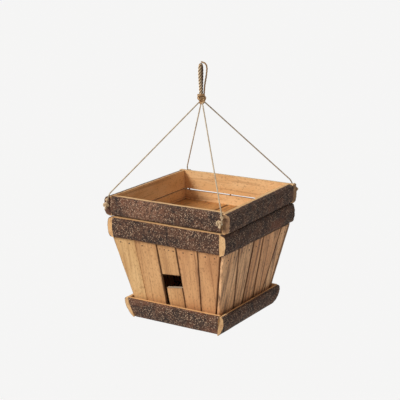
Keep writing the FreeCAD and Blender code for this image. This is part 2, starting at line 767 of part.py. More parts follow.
# Loop tail: the thin strand beside the rope, from the neck wrap up to the top of the loop
tail_plane = FreeCAD.Rotation(UP, sizes.rope_heading + 90)
tail_foot = sizes.neck_wrap_seat + sizes.neck_wrap_height + clearance
tail_top = crown + (sizes.rope_diameter + sizes.tail_diameter) / 2 + clearance
TAIL_ROUTE = [(5.7, tail_foot), (6.2, 20), (7.6, 34), (7.2, 47), (4.6, tail_top - 0.6), (0.6, tail_top)]
tail_points = [knot_centre + tail_plane.multVec(Vector(out, 0, up)) for out, up in TAIL_ROUTE]
tail_bends = [None] * (len(tail_points) - 2)
cord_piece("loop_tail", cord_tube("loop_tail", tail_points, sizes.tail_diameter, tail_bends))

doc.recompute()
for item in doc.Objects:
    if "Invalid" in item.State or "Error" in item.State:
        raise RuntimeError(f"{item.Label} failed: {item.State}")
for piece in nodes:
    if piece.Shape.isNull() or not piece.Shape.isValid() or not piece.Shape.Solids:
        raise RuntimeError(f"{piece.Label} has no valid solid")

os.makedirs("parts", exist_ok=True)
for piece in nodes:
    piece.Shape.exportStep(f"parts/{piece.Label}.step")
print(f"{len(nodes)} pieces, hook {layout.hang_height:.1f} mm above the base")
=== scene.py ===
import math

import bmesh
import bpy
import numpy as np
from mathutils import Matrix, Vector, noise


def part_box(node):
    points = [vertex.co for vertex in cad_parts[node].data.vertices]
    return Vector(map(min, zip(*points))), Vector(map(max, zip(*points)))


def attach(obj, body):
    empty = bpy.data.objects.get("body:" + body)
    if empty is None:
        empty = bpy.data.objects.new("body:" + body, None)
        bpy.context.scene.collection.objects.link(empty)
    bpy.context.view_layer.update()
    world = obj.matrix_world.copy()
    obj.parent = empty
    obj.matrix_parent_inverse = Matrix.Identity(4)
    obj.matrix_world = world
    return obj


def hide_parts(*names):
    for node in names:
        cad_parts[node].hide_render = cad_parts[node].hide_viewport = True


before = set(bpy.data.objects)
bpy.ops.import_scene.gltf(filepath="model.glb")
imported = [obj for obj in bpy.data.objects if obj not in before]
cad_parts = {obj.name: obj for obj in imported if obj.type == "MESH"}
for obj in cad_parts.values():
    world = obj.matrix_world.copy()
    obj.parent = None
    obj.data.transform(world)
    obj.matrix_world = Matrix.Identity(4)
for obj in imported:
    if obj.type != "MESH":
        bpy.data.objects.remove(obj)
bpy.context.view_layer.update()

# Camera, light and floor.
# The camera stands in front of the right corner, a little above the rim, as the photographer did.
# Soft daylight comes from the front left over an even pale room; the object hangs clear of the floor.
MM = 0.001
BASE_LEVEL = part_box("base_plate")[0].z
scene = bpy.context.scene
SENSOR_WIDTH, FOCAL_LENGTH = 36, 2.814
CAMERA_YAW, CAMERA_PITCH, CAMERA_ROLL = (math.radians(angle) for angle in (32.9, 14.62, -0.82))
CAMERA_DISTANCE = 1.6093
AIM = Vector((0, 0, BASE_LEVEL + 0.150))
AIM_RIGHT, AIM_UP = -0.0036, 0.0163
SUN_STRENGTH, SUN_SPREAD, SUN_COLOUR = 2.7, 24, (1.0, 0.985, 0.96)
TO_SUN = Vector((-0.50, -0.72, 0.62))
ROOM_COLOUR, ROOM_LIGHT = (1.0, 0.99, 0.975, 1), 0.28
BACKDROP = (0.913, 0.913, 0.913, 1)
FLOOR_HALF, FLOOR_DROP = 12, 0.34
FLOOR_PAINT, FLOOR_GLOW, GLOW_SHARE = (0.9, 0.9, 0.9, 1), (1, 1, 1, 1), 0.72


def linked(name, data):
    """A new object in the scene."""
    made = bpy.data.objects.new(name, data)
    scene.collection.objects.link(made)
    return made


def add(tree, kind, settings=None, links=None):
    """A node in a tree: its settings first, then the values or links of its sockets, by name, number or
    identifier. A node that is given for a link stands for its first output."""
    made = tree.nodes.new(kind)
    for name, value in (settings or {}).items():
        setattr(made, name, value)
    for name, value in (links or {}).items():
        by_name = isinstance(name, int) or name in made.inputs
        target = made.inputs[name] if by_name else next(s for s in made.inputs if s.identifier == name)
        value = getattr(value, "socket", value)
        if isinstance(value, bpy.types.Node):
            value = value.outputs[0]
        if isinstance(value, bpy.types.NodeSocket):
            tree.links.new(value, target)
        else:
            target.default_value = value
    return made


camera_data = bpy.data.cameras.new("photo_camera")
camera_data.sensor_width = SENSOR_WIDTH
camera_data.lens = SENSOR_WIDTH * FOCAL_LENGTH
camera = linked("photo_camera", camera_data)
scene.camera = camera
to_camera = Vector((math.sin(CAMERA_YAW), -math.cos(CAMERA_YAW), 0)) * math.cos(CAMERA_PITCH)
to_camera.z = math.sin(CAMERA_PITCH)
level_right = Vector((math.cos(CAMERA_YAW), math.sin(CAMERA_YAW), 0))
level_up = to_camera.cross(level_right)
camera_right = math.cos(CAMERA_ROLL) * level_right + math.sin(CAMERA_ROLL) * level_up
camera_up = math.cos(CAMERA_ROLL) * level_up - math.sin(CAMERA_ROLL) * level_right
camera_place = AIM + to_camera * CAMERA_DISTANCE + level_right * AIM_RIGHT + level_up * AIM_UP
camera_axes = Matrix((camera_right, camera_up, to_camera)).transposed().to_4x4()
camera.matrix_world = Matrix.Translation(camera_place) @ camera_axes
scene.view_settings.view_transform = "Standard"

sun_data = bpy.data.lights.new("window_light", "SUN")
sun_data.energy = SUN_STRENGTH
sun_data.angle = math.radians(SUN_SPREAD)
sun_data.color = SUN_COLOUR
sun = linked("window_light", sun_data)
sun.rotation_euler = TO_SUN.to_track_quat("Z", "Y").to_euler()

world = bpy.data.worlds.new("pale_room")
scene.world = world
world.use_nodes = True
room = world.node_tree
room.nodes.clear()
ray = add(room, "ShaderNodeLightPath").outputs
seen_rays = {0: ray["Is Camera Ray"], 1: ray["Is Glossy Ray"]}
seen = add(room, "ShaderNodeMath", {"operation": "MAXIMUM"}, seen_rays)
daylight = add(room, "ShaderNodeBackground", {}, {"Color": ROOM_COLOUR, "Strength": ROOM_LIGHT})
backdrop = add(room, "ShaderNodeBackground", {}, {"Color": BACKDROP})
room_mix = add(room, "ShaderNodeMixShader", {}, {0: seen, 1: daylight, 2: backdrop})
add(room, "ShaderNodeOutputWorld", {}, {0: room_mix})

floor_mesh = bpy.data.meshes.new("studio_floor")
floor_level = BASE_LEVEL - FLOOR_DROP
floor_corners = ((-1, -1), (1, -1), (1, 1), (-1, 1))
floor_places = [(x * FLOOR_HALF, y * FLOOR_HALF, floor_level) for x, y in floor_corners]
floor_mesh.from_pydata(floor_places, [], [(0, 1, 2, 3)])
floor = linked("studio_floor", floor_mesh)
floor_finish = bpy.data.materials.new("pale_floor")
floor_finish.use_nodes = True
floor_tree = floor_finish.node_tree
floor_tree.nodes.clear()
paint = add(floor_tree, "ShaderNodeBsdfDiffuse", {}, {"Color": FLOOR_PAINT})
glow = add(floor_tree, "ShaderNodeEmission", {}, {"Color": FLOOR_GLOW})
camera_ray = add(floor_tree, "ShaderNodeLightPath").outputs["Is Camera Ray"]
glowing = add(floor_tree, "ShaderNodeMath", {"operation": "MULTIPLY"}, {0: camera_ray, 1: GLOW_SHARE})
floor_mix = add(floor_tree, "ShaderNodeMixShader", {}, {0: glowing, 1: paint, 2: glow})
add(floor_tree, "ShaderNodeOutputMaterial", {}, {0: floor_mix})
floor_mesh.materials.append(floor_finish)


# Base plate and battens.
# The nest floor is a plain sawn board, and the battens that the slats are nailed to are sawn strips.
# They stay as the solids give them; only their wood is seen, through the entry, the gaps and from below.
class Finish:
    """A value in a material's nodes. Arithmetic on it adds Math nodes."""

    def __init__(self, tree, socket=None):
        self.tree = tree
        self.socket = socket

    def node(self, kind, settings=None, inputs=None, out=0):
        """Any shader node in the same tree, by one of its outputs."""
        return Finish(self.tree, add(self.tree, "ShaderNode" + kind, settings, inputs).outputs[out])

    def maths(self, operation, first, second):
        return self.node("Math", {"operation": operation}, {"Value": first, "Value_001": second})

    def __add__(self, other):
        return self.maths("ADD", self, other)

    __radd__ = __add__

    def __mul__(self, other):
        return self.maths("MULTIPLY", self, other)

    __rmul__ = __mul__

    def __sub__(self, other):
        return self.maths("SUBTRACT", self, other)

    def __rsub__(self, other):
        return self.maths("SUBTRACT", other, self)

    def step(self, low, high):
        """0 below low, 1 above high, and smooth between."""
        inputs = {"Value": self, "From Min": low, "From Max": high}
        return self.node("MapRange", {"interpolation_type": "SMOOTHSTEP"}, inputs)

    def blend(self, under, over):
        """The colour under where this value is 0, and the colour over where it is 1. A colour is made by
        an earlier blend, or written as it looks on screen, 0 to 255."""
        under, over = (linear(*tone) if isinstance(tone, tuple) else tone for tone in (under, over))
        inputs = {"Factor_Float": self, "A_Color": under, "B_Color": over}
        return self.node("Mix", {"data_type": "RGBA"}, inputs, out="Result")

    def stretched(self, along):
        """A place scaled along the grain only."""
        inputs = {"Vector": self, "Vector_001": (1, along, 1)}
        return self.node("VectorMath", {"operation": "MULTIPLY"}, inputs)

    def noise(self, scale, detail=3.0, roughness=0.55, distortion=0.0):
        """Cloudy noise at this place."""
        inputs = {"Vector": self, "Scale": scale, "Detail": detail}
        inputs |= {"Roughness": roughness, "Distortion": distortion}
        return self.node("TexNoise", {}, inputs)

    def cells(self, scale):
        """Distance to the nearest of scattered points at this place."""
        return self.node("TexVoronoi", {}, {"Vector": self, "Scale": scale})

    def trait(self, name, out="Fac"):
        """What a mesh stores under a name at its points."""
        return self.node("Attribute", {"attribute_name": name}, out=out)


def linear(*screen):
    """A colour on screen, 0 to 255, in the renderer's linear values."""
    return (*(((c / 255 + 0.055) / 1.055) ** 2.4 if c > 10 else c / 255 / 12.92 for c in screen), 1)


def new_finish(name):
    """A new material, its main shader and a value to start expressions from."""
    material = bpy.data.materials.new(name)
    material.use_nodes = True
    return material, material.node_tree.nodes["Principled BSDF"], Finish(material.node_tree)


def fill(shader, base_colour, roughness, height=None, depth=0.0005, strength=0.6):
    """Connects a finish's colour, roughness and relief to its shader."""
    tree = base_colour.tree
    tree.links.new(base_colour.socket, shader.inputs["Base Color"])
    tree.links.new(roughness.socket, shader.inputs["Roughness"])
    if height:
        inputs = {"Height": height, "Distance": depth, "Strength": strength}
        relief = height.node("Bump", {}, inputs)
        tree.links.new(relief.socket, shader.inputs["Normal"])


def wood_colours(grain, pale, mid, dark):
    """Sawn softwood: cloudy tone, long fibre streaks and short dark flecks. Gives colour and relief."""
    cloud = grain.stretched(0.35).noise(34).step(0.36, 0.66)
    fibre = grain.stretched(0.055).noise(420, 4.0, 0.62)
    streak = grain.stretched(0.04).noise(150, 3.0, 0.6, 0.3).step(0.52, 0.70)
    flecks = grain.stretched(0.45).noise(520, 3.0, 0.6).step(0.54, 0.68)
    tone = cloud.blend(pale, mid)
    tone = (fibre.step(0.38, 0.72) * 0.45).blend(tone, mid)
    tone = (streak * 0.5).blend(tone, dark)
    tone = (flecks * 0.5).blend(tone, dark)
    return tone, fibre - flecks * 0.6


def hidden_wood(name, long_axis):
    """Plain sawn wood for a solid that stays as it is, with its grain along X or Y."""
    material, shader, start = new_finish(name)
    place = start.node("TexCoord", out="Object")
    if long_axis == "X":
        inputs = {"Vector": place, "Angle": math.pi / 2}
        place = place.node("VectorRotate", {"rotation_type": "Z_AXIS"}, inputs)
    tone, height = wood_colours(place, (205, 162, 108), (176, 128, 78), (112, 74, 42))
    fill(shader, tone, height.step(-0.2, 0.8) * -0.12 + 0.86, height)
    return material


def finish_node(node, material):
    """Gives a solid of the frame its material."""
    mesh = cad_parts[node].data
    mesh.materials.clear()
    mesh.materials.append(material)


finish_node("base_plate", hidden_wood("plate_wood", "Y"))
for long_axis, sides in {"X": ("front", "back"), "Y": ("left", "right")}.items():
    batten_wood = hidden_wood("batten_wood_" + long_axis.lower(), long_axis)
    for side in sides:
        finish_node(f"foot_batten_{side}", batten_wood)
        finish_node(f"tray_batten_{side}", batten_wood)

# Base slats.
# Four offcuts of a log's outside, bark and all, stand round the foot and are pinned to the base plate.
# The inner side and the top edge are sawn; the bark curves in towards the foot. The side ones run through.
SIDE_AXES = {
    "right": ((1, 0), (0, 1)),
    "back": ((0, 1), (-1, 0)),
    "left": ((-1, 0), (0, -1)),
    "front": ((0, -1), (1, 0)),
}


def on_side(side, out, along, up):
    """Places given outwards, along a side and above the base, in millimetres, in the part's frame."""
    (out_x, out_y), (along_x, along_y) = SIDE_AXES[side]
    x = np.asarray(out) * out_x + np.asarray(along) * along_x
    y = np.asarray(out) * out_y + np.asarray(along) * along_y
    z = np.asarray(up) + np.zeros_like(x)
    return np.stack([x * MM, y * MM, z * MM + BASE_LEVEL], axis=-1)


def rough(places, size, seed):
    """Smooth noise from -1 to 1 at places in millimetres, with lumps of a size."""
    shift = Vector((seed * 7.31, seed * 3.17, seed * 5.03))
    flat = np.asarray(places, float).reshape(-1, 3)
    values = [noise.noise(Vector(place) / size + shift) for place in flat]
    return np.array(values).reshape(np.asarray(places).shape[:-1])


def ring_piece(name, rings, traits, material, end_stain=(0.0, 0.0)):
    """A closed mesh through rings of points, with its ends drawn in to a middle point.
    Traits are values at the same points: numbers, or places along and across the grain.
    The two ends are stained by a share of their own."""
    traits = {"stain": np.zeros(rings.shape[:2]), **traits}
    rows, count = rings.shape[:2]
    end_steps, sharp_angle = (0.86, 0.55, 0.22, 0), 38
    points = [rings.reshape(-1, 3)]
    values = {key: [trait.reshape(rows * count, -1)] for key, trait in traits.items()}
    faces = []
    for row in range(rows - 1):
        for step in range(count):
            after = (step + 1) % count
            a, b = row * count, (row + 1) * count
            faces.append((a + step, a + after, b + after, b + step))
    total = rows * count
    for row, stain in zip((0, rows - 1), end_stain):
        middle = rings[row].mean(0)
        previous = row * count
        for share in end_steps:
            size = count if share else 1
            points.append((middle + (rings[row] - middle) * share)[:size])
            for key, trait in traits.items():
                at_end = trait[row].reshape(count, -1)
                centre = at_end.mean(0)
                drawn = centre + (at_end - centre) * share
                plain = np.full_like(at_end, stain if key == "stain" else 0.0, dtype=float)
                values[key].append((drawn if key == "grain" else plain)[:size])
            for step in range(count):
                after = (step + 1) % count
                drawn_in = (total + after, total + step) if share else (total,)
                faces.append((previous + step, previous + after, *drawn_in))
            previous = total
            total += size
    mesh = bpy.data.meshes.new(name)
    mesh.from_pydata(np.concatenate(points).tolist(), [], faces)
    for key, parts in values.items():
        stacked = np.concatenate(parts).astype(np.float32)
        kind, field = ("FLOAT_VECTOR", "vector") if stacked.shape[1] == 3 else ("FLOAT", "value")
        mesh.attributes.new(key, kind, "POINT").data.foreach_set(field, stacked.ravel())
    shell = bmesh.new()
    shell.from_mesh(mesh)
    bmesh.ops.recalc_face_normals(shell, faces=shell.faces)
    shell.to_mesh(mesh)
    shell.free()
    mesh.shade_smooth()
    mesh.set_sharp_from_angle(angle=math.radians(sharp_angle))
    mesh.materials.append(material)
    return linked(name, mesh)


def bark_finish():
    """Rough bark, dark warm brown with round pale specks and rusty scuffs, over pale sawn wood."""
    material, shader, start = new_finish("bark_and_sapwood")
    grain = start.trait("grain", "Vector")
    bark, stain, shade, rubbed = (start.trait(name) for name in ("bark", "stain", "shade", "rubbed"))
    sawn, fibre = wood_colours(grain, (243, 201, 147), (229, 179, 121), (160, 108, 66))
    blotch = grain.noise(210, 3.0, 0.6)
    sawn = (stain * (blotch * 0.8 + 0.6)).blend(sawn, (92, 58, 42))
    worn = grain.noise(60, 4.0, 0.6, 0.4)
    crust = worn.step(0.36, 0.66).blend((40, 24, 17), (91, 58, 40))
    crust = (rubbed * blotch.step(0.3, 0.6)).blend(crust, (160, 112, 86))
    clusters = grain.noise(150, 2.0, 0.6).step(0.28, 0.56)
    specks = (1 - grain.cells(450).step(0.20, 0.44)) * clusters
    crumbs = 1 - grain.cells(700).step(0.18, 0.42)
    crust = (crumbs * 0.55).blend(crust, (152, 115, 89))
    crust = (specks * 0.85).blend(crust, (206, 173, 143))
    pits = grain.noise(330, 3.0, 0.6).step(0.54, 0.64)
    crust = (pits * 0.75).blend(crust, (28, 17, 14))
    scuff = grain.stretched(0.4).noise(26, 3.0, 0.6).step(0.56, 0.70)
    crust = (scuff * 0.5).blend(crust, (140, 86, 60))
    crust = shade.blend(crust, (34, 20, 14))
    edge = (bark + (blotch - 0.5) * 0.5).step(0.35, 0.6)
    tone = edge.blend(sawn, crust)
    height = edge * (specks * 0.5 + worn * 1.4 - pits * 0.8) + fibre * 0.25
    fill(shader, tone, edge * 0.08 + 0.84, height, 0.0009, 0.75)
    return material


bark_wood = bark_finish()
GRAIN_OFFSET, STRIP_STAIN, SLAB_STEP = 0.613, 0.3, 1.15
BARK_LUMPS = ((9, 0.55), (3.4, 0.45), (1.5, 0.3))
PLAIN = ((0, 0.0),)


def log_slab(
    name, side, low, high, profile, start, end, seed, wrap, end_stain,
    skew=(0, 0), flare=0.0, bare=0.0, shades=PLAIN, rubs=PLAIN,
):
    """A slab of log along a side. The profile is how far the bark stands out at heights from low to high,
    where the sawn inner face is, and how much that face leans out. The bark wraps over a share of the
    sawn edges. The ends flare outwards from foot to head, and a bare strip is bevelled along the top.
    Shades and rubs are how dark and how worn the bark is at places along the slab."""
    bark_out, inner, slope = profile
    length, height = end - start, high - low
    steps = np.arange(start, end + 0.01, length / round(length / SLAB_STEP))
    bark_count, edge_count, inner_count = 26, 9, 9
    edge_round, round_reach = 1.2, 2.5
    torn_reach, torn_depth, torn_change = 1.6, 0.35, 0.45
    wander, saw_marks, end_marks = 0.35, 0.12, 0.5
    share = np.linspace(0, 1, bark_count)
    top_share = np.linspace(0, 1, edge_count + 2)[1:-1]
    in_share = np.linspace(0, 1, inner_count)
    top_out, foot_out = bark_out(1.0) * (1 - top_share), bark_out(0.0) * top_share
    loop_out = np.concatenate([bark_out(share), top_out, np.zeros(inner_count), foot_out])
    top_up, foot_up = np.full(edge_count, high), np.full(edge_count, low)
    loop_up = np.concatenate([low + share * height, top_up, high - in_share * height, foot_up])
    count, rows = len(loop_out), len(steps)
    on_bark = slice(0, bark_count)
    over_top = slice(bark_count, bark_count + edge_count)
    under_foot = slice(count - edge_count, count)
    bark_mask, round_off, bevel, pull = np.zeros((4, count))
    relief, stain = np.zeros((2, rows, count))
    bark_mask[on_bark] = 1
    near_edge = np.minimum(share, 1 - share) * height
    inwards = np.where(share > 0.5, -1, 1)
    round_off[on_bark] = edge_round * np.clip(1 - near_edge / round_reach, 0, 1) ** 2 * inwards
    round_off[over_top] = -edge_round * np.clip(1 - top_share / wrap, 0, 1) ** 2
    round_off[under_foot] = edge_round * np.clip(1 - top_share[::-1] / wrap, 0, 1) ** 2
    along = np.repeat(steps[:, None], count, 1)
    out = np.tile(loop_out, (rows, 1))
    up = np.repeat((loop_up + round_off)[None], rows, 0)
    flat = np.stack([out, along, up], -1)
    lumps = sum(tall * rough(flat, size, seed + turn) for turn, (size, tall) in enumerate(BARK_LUMPS))
    relief[:, on_bark] = lumps[:, on_bark] * np.clip(near_edge / 1.5, 0.35, 1) - 0.25
    bevel[on_bark] = np.clip(bare - (1 - share) * height, 0, None)
    out = out + relief * bark_mask - 0.5 * bevel
    nowhere = np.zeros_like(along)
    edge_line = np.stack([nowhere, along, nowhere], -1)
    ragged = rough(edge_line, 6, seed + 3) + 0.7 * rough(edge_line, 2.2, seed + 4)
    pull[on_bark] = np.where(near_edge < torn_reach, 1 - near_edge / torn_reach, 0) * inwards
    up = up + pull * (torn_depth + torn_change * ragged)
    half_line = np.stack([nowhere, along, (up > (low + high) / 2) * 50.0], -1)
    up = up + wander * rough(half_line, 30, seed + 5)
    out = out + saw_marks * rough(flat, 14, seed + 6) * (1 - bark_mask)
    ends = end_marks * rough(flat, 3.0, seed + 7)
    ends[1:-1] = 0
    along = along + ends
    along = along + flare * (2 * (along - start) / length - 1) * (up - low) / height
    lean = skew[0] + (skew[1] - skew[0]) * (steps - start) / length
    rings = on_side(side, inner + out + lean[:, None] + slope * (up - low), along, up)
    offset = seed * GRAIN_OFFSET
    grain = np.stack([up * MM + offset, along * MM, out * MM + offset], -1)
    bark_mask[over_top] = np.clip(1.25 - top_share / wrap, 0, 1) * (bare == 0)
    bark_mask[on_bark] = np.where(bevel[on_bark] > 0.2, 0.24, 1)
    bark_mask[under_foot] = np.clip(1.25 - top_share[::-1] / wrap, 0, 1)
    stain[:, bark_count - 1 : bark_count + edge_count] = STRIP_STAIN if bare else 0.0
    traits = {"grain": grain, "bark": np.tile(bark_mask, (rows, 1)), "stain": stain}
    for trait, table in (("shade", shades), ("rubbed", rubs)):
        traits[trait] = np.repeat(np.interp(steps, *zip(*table))[:, None], count, 1)
    return ring_piece(name, rings, traits, bark_wood, end_stain)


BASE_HALF, BASE_SLOPE, BASE_OVERRUN, FRONT_OVERRUN = 70.44, 24 / 111, 1.8, 4.3
BASE_HEIGHT, BASE_TOP, BASE_FOOT, BASE_PLAY, BASE_SEED = 29, 5.8, 2, 0.2, 11
BASE_FLARE, END_FLARE = BASE_HEIGHT * BASE_SLOPE, 4
DARK_LOG = 0.27
BASE_SLABS = {
    # side: height of the foot and the head, bulge of the bark, the share of the top edge that it covers,
    # stain of the ends and shade of the bark
    "right": (0, 30.3, 4.2, 0.75, (0.38, 0.15), DARK_LOG),
    "back": (0, 30, 2.6, 0.4, (0.1, 0.1), 0.0),
    "left": (1.5, 31, 4.8, 0.4, (0.15, 0.25), 0.0),
    "front": (0, 31.2, 2.6, 0.42, (0.1, 0.1), 0.0),
}
for number, (side, (low, high, bulge, wrap, stain, shade)) in enumerate(BASE_SLABS.items()):
    through = side in ("left", "right")
    start, end = -BASE_HALF + BASE_PLAY, BASE_HALF - BASE_PLAY
    if through:
        start = -BASE_HALF - BASE_FLARE - (FRONT_OVERRUN if side == "right" else BASE_OVERRUN) + END_FLARE
        end = BASE_HALF + BASE_FLARE + (FRONT_OVERRUN if side == "left" else BASE_OVERRUN) - END_FLARE

    def base_bark(share, bulge=bulge):
        """How far the bark stands out, from the foot to the top."""
        return BASE_FOOT + (BASE_TOP - BASE_FOOT) * share + 4 * bulge * share * (1 - share)

    profile = (base_bark, BASE_HALF, BASE_SLOPE)
    flare = END_FLARE if through else BASE_FLARE
    slab = log_slab(
        f"base_slat_{side}_log", side, low, high, profile, start, end, BASE_SEED + number, wrap, stain,
        flare=flare, shades=((0, shade),),
    )
    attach(slab, "planter")
    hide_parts(f"base_slat_{side}")

# Wall slats.
# Thin tapered boards, hand sawn to odd widths, stand with open joints and lean out to the rim.
# The middle one in front is in two, with the bird's entry between. Each wall overlaps the next at its left.
PLATE_TOP, NEST_HEIGHT = 10, 111
WALL_BOTTOM, WALL_TOP = 68, 92
SLAT_THICKNESS, SLAT_GAP, CORNER_GAP = 4.5, 1.4, 0.8
SLAT_REACH, CORNER_SHIFT = 2.6, -1.4
WALL_LEAN = math.atan((WALL_TOP - WALL_BOTTOM) / NEST_HEIGHT)
SLAT_LENGTH = (NEST_HEIGHT - SLAT_THICKNESS * math.sin(WALL_LEAN)) / math.cos(WALL_LEAN)
ENTRY_SILL, ENTRY_HEIGHT, SILL_SLAT_SHIFTS = 47, 21.5, (3.3, 0.8)
LINTEL_SLANT, SILL_SLANT = 2.2, 4.5
FRONT_TOP = (0, 0.206, 0.418, 0.595, 0.794, 1)
FRONT_BOTTOM = (0, 0.148, 0.407, 0.645, 0.83, 1)
SIDE_TOP = (0, 0.22, 0.448, 0.594, 0.88, 1)
SIDE_BOTTOM = (0, 0.272, 0.435, 0.667, 0.828, 1)
WALLS = {
    # side: gaps between its slats, and the wood of each
    "right": ((2.4, 2.9, 2.9, 1.7), (3, 3, 4, 4, 3)),
    "back": ((0.6, 0.6, 0.6, 0.6), (1, 0, 2, 1, 0)),
    "left": ((0.6, 0.6, 0.6, 0.6), (0, 2, 1, 0, 1)),
    "front": ((0.1, 1.6, 1.5, 0.9), (0, 1, 1, 2, 2)),
}
# Slat edges kept free of the darkened margin, painted pale as edges that catch the light.
CLEAN_LIT_EDGES = {("right", 1): "left", ("right", 5): "right", ("front", 1): "right", ("front", 2): "left"}
SLAT_SEED, SEED_STEP = 40, 9


def slat_finish(name, pale, mid, dark, streaked=0.25):
    """Sawn slat wood, streaked along the grain, and darker near its edges and ends, partly from weather and
    partly as painted shade in the joints.
    """
    material, shader, start = new_finish(name)
    grain = start.trait("grain", "Vector")
    edge = start.trait("edge")
    tone, height = wood_colours(grain, pale, mid, dark)
    grime_and_shade = grain.stretched(0.3).noise(120)
    # Weathering and painted shade: the wood darkens near the board's edges and ends, as in the shaded
    # joints.
    tone = ((edge + grime_and_shade - 0.62).step(0.2, 0.8) * 0.7).blend(tone, (92, 58, 34))
    streaks = grain.stretched(0.05).noise(230, 3.0, 0.6, 0.6).step(0.48, 0.64)
    tone = (streaks * streaked).blend(tone, dark)
    stains = grain.noise(70, 2.0).step(0.62, 0.72)
    tone = (stains * 0.4).blend(tone, dark)
    weathered = start.trait("stain")
    tone = weathered.blend(tone, (166, 152, 132))
    fill(shader, tone, height.step(-0.2, 0.8) * -0.15 + 0.82, height, 0.0006, 0.6)
    return material


SLAT_TONES = {
    "yellow": ((228, 186, 130), (210, 164, 108), (156, 108, 64)),
    "honey": ((218, 168, 114), (196, 144, 92), (132, 84, 48)),
    "orange": ((214, 160, 108), (192, 136, 88), (126, 78, 44)),
    "grey": ((238, 186, 136), (210, 156, 108), (92, 58, 38), 0.75),
    "brown": ((232, 174, 122), (202, 144, 96), (86, 52, 32), 0.75),
}
slat_woods = [slat_finish(f"slat_wood_{name}", *tones) for name, tones in SLAT_TONES.items()]


def wall_lines(side):
    """The lines between a wall's slats at its foot and its top, in millimetres along the wall."""
    front = side in ("front", "back")
    butt = SLAT_THICKNESS / math.cos(WALL_LEAN) + CORNER_GAP
    half_top = WALL_BOTTOM + SLAT_LENGTH * math.sin(WALL_LEAN)
    bottom = np.array(FRONT_BOTTOM if front else SIDE_BOTTOM)
    top = np.array(FRONT_TOP if front else SIDE_TOP)
    if side in ("back", "left"):
        bottom, top = 1 - bottom[::-1], 1 - top[::-1]
    return (2 * WALL_BOTTOM - butt) * bottom - WALL_BOTTOM, (2 * half_top - butt) * top - half_top


def on_wall(side, along, rise, depth):
    """Places along a wall, up its slope and inwards from its outer face, in the part's frame."""
    out = WALL_BOTTOM + rise * math.sin(WALL_LEAN) - depth * math.cos(WALL_LEAN)
    up = PLATE_TOP + rise * math.cos(WALL_LEAN) + depth * math.sin(WALL_LEAN)
    return on_side(side, out, along, up)


def board_loop(count, margin, first, second, chamfer):
    """Round a board: shares of its width, out and back, and the levels of its two faces, with chamfers."""
    face = np.concatenate([[0.0], np.linspace(margin, 1 - margin, count - 2), [1.0]])
    levels = np.repeat([float(first), float(second)], count)
    levels[[0, count - 1]] += chamfer
    levels[[count, -1]] -= chamfer
    return np.concatenate([face, face[::-1]]), levels


def slat_board(name, side, number, low, high, seed, shifts, slants):
    """One slat between two lines of its wall, from one height up the slope to another. It is twisted a
    little, and its foot and head may be cut aslant, higher at the right."""
    gaps, woods = WALLS[side]
    bottom, top = wall_lines(side)
    row_step, face_count, chamfer, twist = 2.2, 14, 0.8, 0.7 * math.sin(seed * 2.4)
    bow, bow_size, nicks, nick_size = 0.35, 16, 0.12, 4
    dents, planed, saw_marks, soiled_shaded_reach, end_clear = 0.16, 0.12, 0.3, 2.4, 0.6
    rows = max(18, round((high - low) / row_step))
    rise = np.linspace(low, high, rows)
    lines = bottom + (top - bottom) * (rise / SLAT_LENGTH)[:, None]
    left = lines[:, number - 1] + (gaps[number - 2] / 2 if number > 1 else 0) + shifts[0]
    right = lines[:, number] - (gaps[number - 1] / 2 if number < 5 else 0) + shifts[1]
    wave = np.stack([np.zeros(rows), rise, np.zeros(rows)], -1)
    left = left + bow * rough(wave, bow_size, seed) + nicks * rough(wave, nick_size, seed + 1)
    right = right + bow * rough(wave, bow_size, seed + 2) + nicks * rough(wave, nick_size, seed + 3)
    loop_share, loop_depth = board_loop(face_count, 0.02, 0, SLAT_THICKNESS, chamfer)
    along = left[:, None] + (right - left)[:, None] * loop_share[None]
    depth = np.tile(loop_depth, (rows, 1))
    up = np.repeat(rise[:, None], 2 * face_count, 1)
    from_foot = np.linspace(0, 1, rows)[:, None]
    up = up + (slants[0] * (1 - from_foot) + slants[1] * from_foot) * loop_share[None]
    flat = np.stack([along, up * 0.25, depth], -1)
    depth = depth + dents * rough(flat, 7, seed + 4) + planed + twist * (loop_share - 0.5)[None]
    saw = saw_marks * rough(np.stack([along, up * 0, depth], -1), 5, seed + 5)
    up[0] = up[0] + np.abs(saw[0])
    up[-1] = up[-1] - np.abs(saw[-1])
    rings = on_wall(side, along, up, depth)
    offset = seed * GRAIN_OFFSET
    grain = np.stack([along * MM + offset, up * MM + offset, depth * MM], -1)
    # The darkened margin, weathering and painted shade of the joints, fades over a few millimetres from the
    # sides and ends.
    both = np.minimum(loop_share, 1 - loop_share)
    soiled_shaded_share = {"left": 1 - loop_share, "right": loop_share}.get(CLEAN_LIT_EDGES.get((side, number)), both)
    from_side = soiled_shaded_share[None] * (right - left)[:, None]
    from_end = np.minimum(rise - low, high - rise)[:, None]
    edge = np.clip(1 - np.minimum(from_side, from_end + end_clear) / soiled_shaded_reach, 0, 1)
    return ring_piece(name, rings, {"grain": grain, "edge": edge}, slat_woods[woods[number - 1]], (0.8, 0.8))


seed = SLAT_SEED
slat_head = SLAT_LENGTH + SLAT_REACH
for side in WALLS:
    for number in range(1, 6):
        label = f"{side}_slat_{number}"
        boards = {label: (0, slat_head, (0, CORNER_SHIFT if number == 5 else 0), (0, 0))}
        if (side, number) == ("front", 3):
            boards = {
                label + "_upper": (ENTRY_SILL + ENTRY_HEIGHT, slat_head, (0, 0), (LINTEL_SLANT, 0)),
                label + "_lower": (0, ENTRY_SILL, SILL_SLAT_SHIFTS, (0, SILL_SLANT)),
            }
        for node, (low, high, shifts, slants) in boards.items():
            seed += SEED_STEP
            board = slat_board(f"{node}_board", side, number, low, high, seed, shifts, slants)
            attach(board, "planter")
            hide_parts(node)

